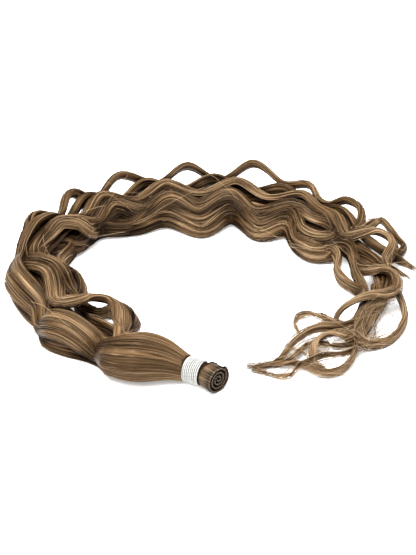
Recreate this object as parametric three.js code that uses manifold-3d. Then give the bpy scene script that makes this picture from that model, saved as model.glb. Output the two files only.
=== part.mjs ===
// Hand-tied hair weft: wavy hair laid down as an open ring, its sewn band rolled up into a
// snail at one end and held there by a wound thread tie. Millimetres, +Z up, the tie on the -Y side.

import * as THREE from "three";
import { mergeVertices } from "three/addons/utils/BufferGeometryUtils.js";
import Module from "manifold-3d";

// The oval line that the bundle lies along. Turn runs clockwise in degrees from the tie.
const RING_HALF_WIDTH = 86;
const RING_HALF_DEPTH = 81;
const RING_Y = -3;
const ROOT_AZIMUTH = -96;

// The thread tie: a row of wraps side by side round the neck of the hair.
const TIE_X = -5.9;
const TIE_Y = -91.6;
const TIE_Z = 6.5;
const TIE_AZIMUTH = -30;
const THREAD_DIAMETER = 0.95;
const THREAD_WRAPS = 9;
const NECK_RADIUS = 5.0;
const COLLAR_RADIUS = 6.0;
const COLLAR_STEP = 0.5;
const GAP = 0.3;

// The sewn band, rolled up beyond the tie with its seam edge outwards.
const ROLL_X = 4.8;
const ROLL_Y = -99.3;
const ROLL_Z = 6.9;
const ROLL_AZIMUTH = -46;
const ROLL_LENGTH = 6.8;
const ROLL_RADIUS = 7.5;
const ROLL_CORE = 0.9;
const ROLL_TURNS = 3.6;
const ROLL_START = 45;
const BAND_THICKNESS = 0.95;
const FLAP_TURN = 0.1;
const FLAP_REACH = 0.35;

const WELD = 0.005;
const CLEANING_PASSES = 4;
const LOCK_SIDES = 5;
const WIDE_BEND = 14;
const TIP_SHARE = 0.35;
const DIP_SHARE = 0.78;

// The bulge of hair that swells out of the tie: turn in degrees, out: mm outside the ring line,
// up: height of its middle, radius. The locks leave it at the rows named below, counted from 0.
const BULGE_COLUMNS = ["turn", "out", "up", "radius"];
const BULGE = [
  [1.5, 5.0, 7.4, 6.9],
  [5.5, 4.7, 9.4, 8.9],
  [9.5, 6.3, 10.8, 10.6],
  [13.5, 8.4, 11.5, 11.4],
  [18.5, 9.6, 10.8, 10.5],
  [23, 9.2, 9.4, 8.3],
  [27, 7.5, 8.0, 5.3],
];
const LOCKS_FROM_ROW = 3;
const LOCKS_TO_ROW = 4;
const LOCK_DEPTH = 3.2;

// Share of its full width that a lock has at each turn.
const GIRTH_COLUMNS = ["turn", "share"];
const GIRTH = [
  [13, 0.3],
  [18, 0.5],
  [24, 0.85],
  [30, 0.98],
  [60, 1.0],
  [110, 0.98],
  [174, 0.92],
  [230, 0.85],
  [270, 0.72],
  [310, 0.52],
  [342, 0.3],
];

// The locks, root to tip. width and thick: the full section, root: the place round the bulge in degrees,
// null for a lock that leaves the bundle further on. Each row of bends is one bend of the wave.
const BEND_COLUMNS = ["turn", "out", "up"];
const LOCKS = {
  outer_top: {
    width: 15, thick: 6, root: -15,
    bends: [
      [27, 8, 8], [31, 9, 13], [38, 10, 16], [44, 12, 15], [50, 11, 10], [57, 7, 12], [64, 10.3, 15.5],
      [74, 13, 15], [84, 14, 11.5], [92, 14.2, 9], [98, 15.2, 13], [105, 15.6, 17], [111, 13.6, 16.5],
      [120, 11, 9.5], [131, 16.5, 14.5], [142, 11, 9], [153, 16.5, 14.5], [164, 11, 9], [176, 16.5, 14.5],
      [188, 11, 9.5], [200, 15.5, 13.5], [212, 10, 9], [224, 14, 11], [236, 9, 8], [244, 8, 9],
      [250.5, 11.5, 8], [253, 18, 5], [256.5, 23, 3.5],
    ],
  },
  outer_low: {
    width: 13, thick: 6, root: -65,
    bends: [
      [27, 8, 4], [33, 7, 5], [40, 10.4, 5], [47, 12, 5], [54, 6.5, 5], [62, 9.5, 5], [73, 12, 6],
      [82, 14, 6], [90, 14, 6], [99, 16, 6], [108, 17, 8], [120, 10, 6], [134, 13, 6], [148, 7, 6],
      [163, 12.5, 6], [178, 6, 6], [194, 11, 6], [210, 4, 6], [226, 8.5, 5], [242, 3, 5], [251, 5, 6],
      [257.7, 8, 6], [259.1, 12.5, 5], [260.4, 17, 3.2],
    ],
  },
  heart: {
    width: 13, thick: 9, root: 180,
    bends: [
      [30, 5, 6], [60, 2, 5], [90, 4, 5], [120, 5, 5], [150, 3, 5], [180, 2, 5], [210, 0, 5], [235, 0, 5],
      [255, 3, 5], [275, 4, 5], [288, 4, 5], [298, 1.5, 5.5], [305, -1, 5.5],
    ],
  },
  root_arch: {
    width: 11, thick: 5, root: 65,
    bends: [
      [24, -5, 19], [30, -14, 19], [39, -18, 18], [46, -13, 18], [47, -3, 19], [50, 2, 19], [57, -2, 20],
      [68, -4, 20], [78, 2, 17], [86, 10, 12], [95, 8, 10], [103, 4, 15], [110, 3, 18], [115, -4, 17],
      [118, -9, 12], [127, -4, 7], [139, -12, 6], [154, -5, 9], [170, -20, 6], [184, -8, 9], [199, -21, 6],
      [209, -9, 8], [221, -22, 6], [230, -22, 6], [237, -17, 6], [238, -10, 7], [243, -6, 8], [252, -7, 8],
      [262, -9, 7], [271, -6, 6], [281, -3, 6], [292, -1, 6], [300, 4, 5], [307, 11, 4], [313, 17, 3],
      [319, 20, 3], [323, 17, 3], [325, 8, 3], [329, 3, 3], [334, 0, 2], [339, -2, 1.5],
    ],
  },
  root_loop: {
    width: 11, thick: 5, root: 105,
    bends: [
      [22, -10, 14], [28, -21.5, 11.5], [37, -26.5, 9], [43, -24, 7], [46, -17, 7], [52, -14, 9],
      [56, -10, 15], [64, -11, 17], [74, -10, 18], [83, -3, 17], [91, 7, 12], [99, 4, 8], [107, 0, 9],
      [111, -6, 6], [119, -5.5, 5], [129, -3, 5], [141, -13, 4.5], [156, -12, 6], [171, -27, 4.5],
      [184, -10.5, 6], [200, -25, 4.5], [210, -14, 6], [221, -23, 5], [230, -25, 5], [237, -23.5, 5],
      [240, -18, 5], [240, -13, 5], [246, -13, 5], [254, -17, 4], [263, -16, 4], [270, -11, 4],
      [277, -4, 5], [288, -2, 5], [298, -1, 5], [304, -3, 6], [308, -9, 6], [313, -12, 5], [321, -10, 4],
      [327, -5, 3], [332, -1, 2], [338, 1, 1.5],
    ],
  },
  root_inner: {
    width: 12, thick: 5, root: 150,
    bends: [
      [22, -5, 10], [29, -9, 9], [36, -9.5, 8], [44, -11, 6], [55, -12, 6], [65, -19, 8], [75, -18.5, 10],
      [82, -14, 9], [94, -7, 6], [106, -6, 5], [118, -2, 6], [128, -3, 9], [138, 0, 12], [148, -9, 8],
      [159, -6, 13], [170, -14, 8], [183, -6, 13], [197, -16, 8], [208, -6, 11], [220, -16, 9],
      [230, -16, 9], [235, -9, 10], [231, 1, 12], [223, 8, 12], [215, 11, 10],
    ],
  },
  arch: {
    width: 9, thick: 4.5, root: 20,
    bends: [
      [30, 5, 8], [60, 5, 10], [90, 11, 11], [104, 17, 17], [110, 19, 19], [118, 13, 14],
      [126.5, 19.3, 20.6], [134.5, 14, 14], [145.5, 21, 21.3], [157, 15, 15], [167.5, 23, 21],
      [178, 15, 15], [188, 24.5, 23], [199, 17, 16.5], [208, 17, 19.5], [213, 13, 15], [218, 12, 14],
      [222, 18, 17], [228, 18.5, 16], [233, 12, 12], [236, 5, 11], [236, 12, 12], [236, 21, 14],
      [241, 22, 12], [245, 23, 9], [247, 25, 7], [252, 17, 7], [257, 7, 6],
    ],
  },
  crown: {
    width: 11, thick: 5, root: 40,
    bends: [
      [30, 2, 9], [60, 0, 11], [88, 6, 12], [99, 9, 13], [112, 8, 15], [124, 5, 11.5], [135, 11, 17.5],
      [147, 4.5, 12.5], [159, 10, 17.5], [171, 4, 12.5], [184, 10, 18], [196, 4.5, 12.5], [208, 9, 17],
      [216, 6, 14], [224, 4, 14], [232, -1, 13], [238, -3, 12], [240, 4, 13], [242, 12, 14], [246, 16, 13],
      [251, 15, 12], [257, 8, 9], [265, 8, 8], [272, 10, 7], [279, 15, 5], [286, 19, 4], [293, 20, 3],
      [299, 19, 3], [304, 14, 4], [305, 8, 6], [308, 1, 7], [312, -2, 7], [317, -1, 6], [320, 3, 5],
      [322, 10, 3], [321, 15, 3],
    ],
  },
  crown_inner: {
    width: 11, thick: 5, root: 85,
    bends: [
      [30, -1, 9], [60, -3, 10], [90, 3, 11], [104, 3, 12], [117, 3, 15], [127, -2, 11], [137, 3, 15.5],
      [148, -4, 11], [159, -2, 15], [170, -9, 11], [182, -3, 15], [195, -12, 10.5], [208, -2, 14],
      [218, -2, 12], [227, 0, 12], [236, -3, 10], [246, -6, 9], [259, -8, 9], [264, -3, 10], [265, 4, 11],
      [269, 10, 11], [276, 11, 10], [281, 7, 11], [285, 1, 12], [290, -5, 11], [294, -9, 8], [299, -9, 5],
      [302, -2, 4], [306, 4, 4],
    ],
  },
  thin_loop: {
    width: 5.5, thick: 3, root: null,
    bends: [
      [272, 0, 8], [286, 2, 7], [296, 2.5, 6.5], [301, -2, 6], [301, -9, 5], [299, -18, 4],
      [299.5, -25, 3], [304, -28, 2], [310, -25, 2], [313, -19, 2],
    ],
  },
  thin_tip: {
    width: 5.5, thick: 3, root: null,
    bends: [
      [308.5, 13.5, 4.5], [313, 11.5, 4], [318, 7.5, 4], [323, 6.5, 3], [327, 7, 3], [330, 11, 2],
      [332, 12, 2], [335, 8, 1.5], [339, 1, 1.5],
    ],
  },
  tail_heart: {
    width: 9, thick: 4, root: null,
    bends: [
      [258, 4, 7], [266, 6, 7], [275, 5, 6.5], [285, 4.5, 6], [294, 6, 5.5], [302, 9, 5], [308.5, 11, 4.5],
    ],
  },
  tail_inner: {
    width: 7, thick: 3, root: null,
    bends: [
      [300, 6, 5], [305, 8.5, 4.5], [309, 8.5, 4.5], [312, 4, 4], [314, -2, 4], [318.5, -4, 3.5],
      [323.5, -2, 3], [329, 1, 2.5], [333.5, 0, 1.8],
    ],
  },
};

const wasm = await Module();
wasm.setup();

// A table row as an object with its columns' names.
function named(columns, row) {
  return Object.fromEntries(columns.map((column, i) => [column, row[i]]));
}

const bulgeRows = BULGE.map((row) => named(BULGE_COLUMNS, row));
const girthRows = GIRTH.map((row) => named(GIRTH_COLUMNS, row));

// A place in the object from its turn round the ring, its distance outside it and its height.
function ringPoint(turn, out, up) {
  const azimuth = THREE.MathUtils.degToRad(ROOT_AZIMUTH - turn);
  const x = RING_HALF_WIDTH * Math.cos(azimuth);
  const y = RING_Y + RING_HALF_DEPTH * Math.sin(azimuth);
  const outward = new THREE.Vector3(Math.cos(azimuth) / RING_HALF_WIDTH, Math.sin(azimuth) / RING_HALF_DEPTH, 0);
  return outward.setLength(out).add(new THREE.Vector3(x, y, up));
}

// A level direction from its azimuth in degrees.
function heading(azimuth) {
  const angle = THREE.MathUtils.degToRad(azimuth);
  return new THREE.Vector3(Math.cos(angle), Math.sin(angle), 0);
}

function girthAt(turn) {
  const next = girthRows.findIndex((row) => row.turn > turn);
  if (next < 0) {
    return girthRows.at(-1).share;
  }
  if (next === 0) {
    return girthRows[0].share;
  }
  const low = girthRows[next - 1];
  const high = girthRows[next];
  return THREE.MathUtils.mapLinear(turn, low.turn, high.turn, low.share, high.share);
}

// A closed geometry as a solid that can be joined and cut.
function toSolid(geometry) {
  const bare = geometry.clone();
  bare.deleteAttribute("normal");
  bare.deleteAttribute("uv");
  const merged = mergeVertices(bare, WELD);
  const mesh = new wasm.Mesh({
    numProp: 3,
    vertProperties: new Float32Array(merged.attributes.position.array),
    triVerts: new Uint32Array(merged.index.array),
  });
  return new wasm.Manifold(mesh);
}

function toGeometry(solid) {
  const mesh = solid.getMesh();
  const geometry = new THREE.BufferGeometry();
  geometry.setAttribute("position", new THREE.BufferAttribute(new Float32Array(mesh.vertProperties), 3));
  geometry.setIndex(new THREE.BufferAttribute(new Uint32Array(mesh.triVerts), 1));
  geometry.computeVertexNormals();
  return geometry;
}

// All solids joined, two by two.
function joined(solids) {
  let round = solids;
  while (round.length > 1) {
    const next = [];
    for (let i = 0; i < round.length; i += 2) {
      next.push(i + 1 < round.length ? round[i].add(round[i + 1]) : round[i]);
    }
    round = next;
  }
  return round[0];
}

// The outer shell of a solid, without loose crumbs and closed hollows.
function largest(solid) {
  const shells = solid.decompose();
  shells.sort((a, b) => b.volume() - a.volume());
  return shells[0];
}

// A closed tube through its sections, which all have the same number of points.
function tubeGeometry(sections) {
  const sides = sections[0].length;
  const points = sections.flat();
  const faces = [];
  for (let i = 1; i < sections.length; i += 1) {
    for (let j = 0; j < sides; j += 1) {
      const a = (i - 1) * sides + j;
      const b = (i - 1) * sides + ((j + 1) % sides);
      faces.push(a, b + sides, b, a, a + sides, b + sides);
    }
  }
  const end = points.length - sides;
  for (let j = 2; j < sides; j += 1) {
    faces.push(0, j - 1, j, end, end + j, end + j - 1);
  }
  const geometry = new THREE.BufferGeometry().setFromPoints(points);
  geometry.setIndex(faces);
  return geometry;
}

// An oval of points about a middle, in the plane of two directions.
function oval(middle, across, halfAcross, along, halfAlong, sides) {
  const points = [];
  for (let i = 0; i < sides; i += 1) {
    const angle = (2 * Math.PI * i) / sides;
    const point = middle.clone();
    point.addScaledVector(across, halfAcross * Math.cos(angle));
    point.addScaledVector(along, halfAlong * Math.sin(angle));
    points.push(point);
  }
  return points;
}

// The bends of a lock, with its start just under the skin of the bulge.
function lockRows(lock) {
  const bends = lock.bends.map((row) => named(BEND_COLUMNS, row));
  if (lock.root === null) {
    return bends;
  }
  const angle = THREE.MathUtils.degToRad(lock.root);
  const start = bulgeRows.slice(LOCKS_FROM_ROW, LOCKS_TO_ROW + 1).map((row) => ({
    turn: row.turn,
    out: row.out + (row.radius - LOCK_DEPTH) * Math.cos(angle),
    up: row.up + (row.radius - LOCK_DEPTH) * Math.sin(angle),
  }));
  return [...start, ...bends];
}

// Where the sections of a lock lie, counted in rows: one at a bend, or one on either side of a wide bend.
function sectionPlaces(points) {
  const last = points.length - 1;
  const places = [0];
  for (let i = 1; i < last; i += 1) {
    const before = points[i].distanceTo(points[i - 1]);
    const after = points[i].distanceTo(points[i + 1]);
    const wide = Math.min(before, after) > WIDE_BEND;
    places.push(...(wide ? [i - 0.25, i + 0.25] : [i]));
  }
  places.push(last);
  return places;
}

// A lock is full at its crests and narrower where it dips between them.
function swellAt(rows, i) {
  const near = rows.slice(Math.max(i - 1, 0), i + 2).map((row) => row.up);
  const low = Math.min(...near);
  const high = Math.max(...near);
  const rise = high > low ? (rows[i].up - low) / (high - low) : 1;
  return THREE.MathUtils.lerp(DIP_SHARE, 1, rise);
}

// A lock as flat oval sections, with the flat side facing away from the middle of the bundle.
function lockSections(lock) {
  const rows = lockRows(lock);
  const points = rows.map((row) => ringPoint(row.turn, row.out, row.up));
  const curve = new THREE.CatmullRomCurve3(points, false, "catmullrom", 0.5);
  const swells = rows.map((row, i) => swellAt(rows, i));
  const last = rows.length - 1;
  const stations = sectionPlaces(points).map((place) => {
    const row = Math.min(Math.floor(place), last - 1);
    const turn = THREE.MathUtils.lerp(rows[row].turn, rows[row + 1].turn, place - row);
    const middle = curve.getPoint(place / last);
    const tangent = curve.getTangent(place / last);
    const facing = middle.clone().sub(ringPoint(turn, 2, 4));
    facing.addScaledVector(tangent, -facing.dot(tangent));
    const tip = THREE.MathUtils.smoothstep(place, last - 2, last);
    const swell = THREE.MathUtils.lerp(swells[row], swells[row + 1], place - row);
    const share = girthAt(turn) * swell * THREE.MathUtils.lerp(1, TIP_SHARE, tip);
    return { middle, tangent, facing, share };
  });
  return stations.map((station, i) => {
    const before = stations[Math.max(i - 1, 0)].facing;
    const after = stations[Math.min(i + 1, stations.length - 1)].facing;
    const facing = station.facing.clone().multiplyScalar(2).add(before).add(after);
    facing.addScaledVector(station.tangent, -facing.dot(station.tangent)).normalize();
    const across = station.tangent.clone().cross(facing);
    const halfWidth = (lock.width / 2) * station.share;
    const halfThick = (lock.thick / 2) * station.share;
    return oval(station.middle, across, halfWidth, facing, halfThick, LOCK_SIDES);
  });
}

// The root of the hair: the bulge, narrowing to a round neck through the tie and up to the back of the roll.
function rootSections() {
  const upward = new THREE.Vector3(0, 0, 1);
  const fromTie = heading(TIE_AZIMUTH).negate();
  const fromRoll = heading(ROLL_AZIMUTH).negate();
  const tie = new THREE.Vector3(TIE_X, TIE_Y, TIE_Z);
  const halfTie = (THREAD_WRAPS * THREAD_DIAMETER) / 2 + GAP;
  const rollBack = new THREE.Vector3(ROLL_X, ROLL_Y, ROLL_Z).addScaledVector(fromRoll, ROLL_LENGTH + GAP);
  const stations = [
    { middle: rollBack, along: fromRoll, radius: COLLAR_RADIUS },
  ];
  const neckSteps = [
    { step: -halfTie, radius: NECK_RADIUS },
    { step: halfTie, radius: NECK_RADIUS },
    { step: halfTie + COLLAR_STEP, radius: COLLAR_RADIUS },
  ];
  for (const { step, radius } of neckSteps) {
    stations.push({ middle: tie.clone().addScaledVector(fromTie, step), along: fromTie, radius });
  }
  for (const row of bulgeRows) {
    const middle = ringPoint(row.turn, row.out, row.up);
    stations.push({ middle, along: middle.clone().sub(stations.at(-1).middle), radius: row.radius });
  }
  return stations.map((station) => {
    const across = station.along.clone().setZ(0).normalize().cross(upward);
    return oval(station.middle, across, station.radius, upward, station.radius, 16);
  });
}

// The hair: root and locks joined into one body, flat where it lies on the surface.
function hairGeometry() {
  const tubes = [toSolid(tubeGeometry(rootSections()))];
  for (const lock of Object.values(LOCKS)) {
    tubes.push(toSolid(tubeGeometry(lockSections(lock))));
  }
  const ground = new THREE.BoxGeometry(400, 400, 20);
  ground.translate(0, 0, -10);
  let body = joined(tubes).subtract(toSolid(ground));
  for (let pass = 0; pass < CLEANING_PASSES; pass += 1) {
    body = largest(toSolid(toGeometry(body)));
  }
  return toGeometry(body);
}

// The tie: wraps of thread side by side as one ribbed sleeve, along its own Z axis.
function tieGeometry() {
  const halfLength = (THREAD_WRAPS * THREAD_DIAMETER) / 2;
  const inner = NECK_RADIUS + GAP;
  const radius = THREAD_DIAMETER / 2;
  const profile = [new THREE.Vector2(inner, -halfLength)];
  for (let wrap = 0; wrap < THREAD_WRAPS; wrap += 1) {
    for (const angle of [-60, 0, 60]) {
      const turned = THREE.MathUtils.degToRad(angle);
      const along = -halfLength + (wrap + 0.5) * THREAD_DIAMETER + radius * Math.sin(turned);
      profile.push(new THREE.Vector2(inner + radius + radius * Math.cos(turned), along));
    }
  }
  profile.push(new THREE.Vector2(inner, halfLength));
  profile.push(profile[0].clone());
  const sleeve = new THREE.LatheGeometry(profile, 24);
  sleeve.rotateX(Math.PI / 2);
  return sleeve;
}

// The rolled band: a spiral strip with a flap at its outer end, its seam edge at Z = 0, its back below.
function bandGeometry() {
  const steps = Math.round(ROLL_TURNS * 20);
  const edges = { outer: [], inner: [] };
  for (let i = 0; i <= steps; i += 1) {
    const turned = (i / steps) * ROLL_TURNS;
    const angle = THREE.MathUtils.degToRad(ROLL_START - 360 * turned);
    const flap = FLAP_REACH * (1 - THREE.MathUtils.smoothstep(turned, 0, FLAP_TURN));
    const radius = THREE.MathUtils.lerp(ROLL_RADIUS, ROLL_CORE, i / steps) + flap;
    const direction = new THREE.Vector2(Math.cos(angle), Math.sin(angle));
    edges.outer.push(direction.clone().multiplyScalar(radius));
    edges.inner.push(direction.clone().multiplyScalar(radius - BAND_THICKNESS));
  }
  const outline = new THREE.Shape([...edges.outer, ...edges.inner.reverse()]);
  const strip = new THREE.ExtrudeGeometry(outline, { depth: ROLL_LENGTH, bevelEnabled: false, steps: 1 });
  strip.translate(0, 0, -ROLL_LENGTH);
  return strip;
}

// A mesh whose own Z axis points along a level heading, with its own Y axis upright.
function placed(name, geometry, material, position, azimuth) {
  const mesh = new THREE.Mesh(geometry, material);
  const along = heading(azimuth);
  const upward = new THREE.Vector3(0, 0, 1);
  const across = upward.clone().cross(along);
  mesh.name = name;
  mesh.setRotationFromMatrix(new THREE.Matrix4().makeBasis(across, upward, along));
  mesh.position.copy(position);
  return mesh;
}

const hairMaterial = new THREE.MeshStandardMaterial({ color: 0x8a6a4a, roughness: 0.5, metalness: 0 });
const bandMaterial = new THREE.MeshStandardMaterial({ color: 0x7a5c40, roughness: 0.65, metalness: 0 });
const threadMaterial = new THREE.MeshStandardMaterial({ color: 0xeceae4, roughness: 0.8, metalness: 0 });

const hair = new THREE.Mesh(hairGeometry(), hairMaterial);
hair.name = "hair";
const band = placed(
  "weft_band", bandGeometry(), bandMaterial, new THREE.Vector3(ROLL_X, ROLL_Y, ROLL_Z), ROLL_AZIMUTH,
);
const tie = placed(
  "thread_tie", tieGeometry(), threadMaterial, new THREE.Vector3(TIE_X, TIE_Y, TIE_Z), TIE_AZIMUTH,
);

// The origin is the middle of the whole, on the surface that it lies on.
const group = new THREE.Group();
group.add(hair, band, tie);
group.updateMatrixWorld(true);
const box = new THREE.Box3().setFromObject(group, true);
const middle = box.getCenter(new THREE.Vector3());
group.position.set(-middle.x, -middle.y, -box.min.z);
group.updateMatrixWorld(true);

export default group;
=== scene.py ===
import math

import bpy
import numpy as np
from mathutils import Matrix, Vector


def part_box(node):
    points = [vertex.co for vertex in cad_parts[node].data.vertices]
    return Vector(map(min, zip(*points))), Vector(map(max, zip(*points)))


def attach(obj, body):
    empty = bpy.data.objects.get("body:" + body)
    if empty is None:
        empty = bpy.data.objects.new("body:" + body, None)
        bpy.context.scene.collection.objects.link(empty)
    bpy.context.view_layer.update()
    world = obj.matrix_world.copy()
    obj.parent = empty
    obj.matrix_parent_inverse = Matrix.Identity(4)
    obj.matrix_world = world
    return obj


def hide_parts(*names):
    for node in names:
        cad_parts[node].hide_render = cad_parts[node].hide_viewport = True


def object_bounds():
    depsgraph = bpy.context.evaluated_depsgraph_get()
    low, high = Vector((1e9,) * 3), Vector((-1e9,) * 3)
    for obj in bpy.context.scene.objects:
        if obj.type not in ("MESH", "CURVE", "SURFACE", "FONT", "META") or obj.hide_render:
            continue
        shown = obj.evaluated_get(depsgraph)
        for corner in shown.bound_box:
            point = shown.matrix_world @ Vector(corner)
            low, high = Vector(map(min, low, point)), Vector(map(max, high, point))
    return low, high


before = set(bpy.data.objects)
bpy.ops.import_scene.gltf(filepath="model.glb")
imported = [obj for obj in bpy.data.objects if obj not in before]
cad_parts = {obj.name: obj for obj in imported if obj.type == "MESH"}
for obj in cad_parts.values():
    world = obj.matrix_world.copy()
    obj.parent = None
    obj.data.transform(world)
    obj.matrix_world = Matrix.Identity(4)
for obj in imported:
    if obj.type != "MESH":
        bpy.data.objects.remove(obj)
cad_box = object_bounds()

# Sizes are in millimetres and angles in degrees, unless a comment says otherwise. A value that is called
# a wander has an amount, and its shortest and longest wave.
MM = 0.001
SEED = 20
WANDER_SHARES = (0.6, 0.4)
FLOOR_CLEARANCE = 0.01

# The oval line that the bundle lies along. Turn runs clockwise in degrees from the tie.
RING_HALF_WIDTH = 86
RING_HALF_DEPTH = 81
RING_Y = -3
ROOT_AZIMUTH = -96

# The neck of hair, from inside the back of the roll through the tie.
NECK_RADIUS = 5.0
NECK_INSET = 0.6
COLLAR_RADIUS = 6.0
COLLAR_STEP = 0.5
GAP = 0.3

# The thread tie: a thread wound side by side, over a sleeve in painted shade that stands for the wraps
# below.
TIE = (-5.9, -91.6, 6.5)
TIE_AZIMUTH = -30
THREAD_DIAMETER = 0.95
THREAD_WRAPS = 9
WRAP_LENGTH = 36.0
WRAP_STEPS = 150
WRAP_START = 0.6
WRAP_OUT_WANDER = (0.07, 25, 60)
WRAP_ALONG_WANDER = (0.07, 20, 50)
SLEEVE_RADIUS = 5.5
SLEEVE_DROP = 0.15
SLEEVE_EDGE = 0.1
SLEEVE_INSET = 0.45
SLEEVE_SIDES = 48

# The band, rolled up beyond the tie, with a flap at its outer end.
ROLL = (4.8, -99.3, 6.9)
ROLL_AZIMUTH = -46
ROLL_LENGTH = 6.8
ROLL_RADIUS = 7.5
ROLL_CORE = 0.9
ROLL_TURNS = 3.6
ROLL_START = 45
TURN_STEP = (ROLL_RADIUS - ROLL_CORE) / ROLL_TURNS
BAND_THICKNESS = 0.95
BAND_STEPS = 640
FLAP_TURN = 0.1
FLAP_REACH = 0.35

# How the band's outer end settles: turns, share at the seam, places on its width where that grows to 1.
BAND_END_TURN = 0.22
SEAM_SETTLING = 0.5
SETTLED_BACKS = (0.05, 0.45)

# Sections of the band from its back to its seam edge: place as a share of its width, depth of the grooves
# between the clumps, how far it swells, and how much painted shade darkens the grooves.
BAND_SECTIONS = [
    (1.0, 0.0, -0.12, 0.0),
    (0.8, 0.05, 0.0, 0.05),
    (0.55, 0.12, 0.02, 0.15),
    (0.38, 0.25, 0.02, 0.5),
    (0.24, 0.42, 0.0, 0.9),
    (0.13, 0.46, -0.05, 1.0),
    (0.05, 0.3, -0.04, 0.7),
    (0.0, 0.3, -0.3, 0.5),
]

# The fine ridges of hair on the band, and its tones. Turns that lie under another, and the band's inner
# face, carry painted shade, which fades out near the seam edge.
RIDGE_HEIGHT = 0.055
RIDGE_PITCH = 0.42
RIDGE_WANDER = (0.05, 1.3, 3.1)
OUTER_RIDGE = 0.8
INNER_RIDGE = 0.5
INNER_PUFF = 0.8
INNER_CUT = 0.5
CLUMP_ROUNDING = 0.8
BAND_TONE = 0.5
BAND_TONE_WANDER = (0.2, 1.5, 6)
BAND_FIBRES = 2.2
GROOVE_SHADE = 0.9
COVERED_SHADE = 0.6
COVERED_TURNS = (0.9, 1.0)
SHOWN_BACK = 0.2

# The seam along the band's edge, and its stitches, whose outline has places out and along.
STITCH_PITCH = 1.15
STITCH_OUTLINE = [
    (0.0, -1.9), (0.08, -1.2), (0.1, -0.5), (-0.05, 0.06), (-0.45, 0.16), (-0.85, 0.06), (-0.95, -0.5),
]
STITCH_STEPS = 3
STITCH_TONES = (0.0, 0.2)
STITCH_LEAN = 0.25
STITCH_LEAN_RADIUS = 2
STITCH_SAMPLES = 4000
STITCH_END = 0.5
SEAM_STEPS = 900
SEAM_INSET = 0.01
SEAM_ALONG = -0.1

# Round tubes. fibres: how far the streaks move on from tube to tube and from side to side. A thread has two
# plies that are laid round each other, out and along: how far a ply lies from their middle.
STRAND = {"radius": 0.13, "sides": 3, "fibres": (7.0, 0.4)}
FLYAWAY = {"radius": 0.085, "sides": 3, "fibres": (5.0, 1.0)}
WISP = {"radius": 0.1, "sides": 3, "fibres": (5.0, 1.0)}
STITCH = {"radius": 0.15, "sides": 5, "fibres": (4.0, 1.0)}
TIE_THREAD = {
    "radius": 0.28, "sides": 7, "fibres": (40.0, 1.0),
    "out": 0.09, "along": 0.09, "pitch": 3.4, "tones": (0.62, 0.7),
}
SEAM_THREAD = {
    "radius": 0.2, "sides": 6, "fibres": (30.0, 1.0),
    "out": 0.2, "along": 0.14, "pitch": 2 * STITCH_PITCH, "tones": (0.52, 0.7),
}

# The bulge that swells out of the tie: turn, out, up, radius.
BULGE = [
    (1.5, 5.0, 7.4, 6.9),
    (5.5, 4.7, 9.4, 8.9),
    (9.5, 6.3, 10.8, 10.6),
    (13.5, 8.4, 11.5, 11.4),
    (18.5, 9.6, 10.8, 10.5),
    (23.0, 9.2, 9.4, 8.3),
    (27.0, 7.5, 8.0, 5.3),
]

# The rows of the bulge, from and to, in which a lock starts, and how deep its middle lies there.
LOCKS_FROM_ROW = 3
LOCKS_TO_ROW = 4
LOCK_DEPTH = 3.2

# Share of its full width that a lock has at each turn: turn, share.
GIRTH = [
    (13, 0.3), (18, 0.5), (24, 0.85), (30, 0.98), (60, 1.0), (110, 0.98), (174, 0.92), (230, 0.85),
    (270, 0.72), (310, 0.52), (342, 0.3),
]

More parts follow.
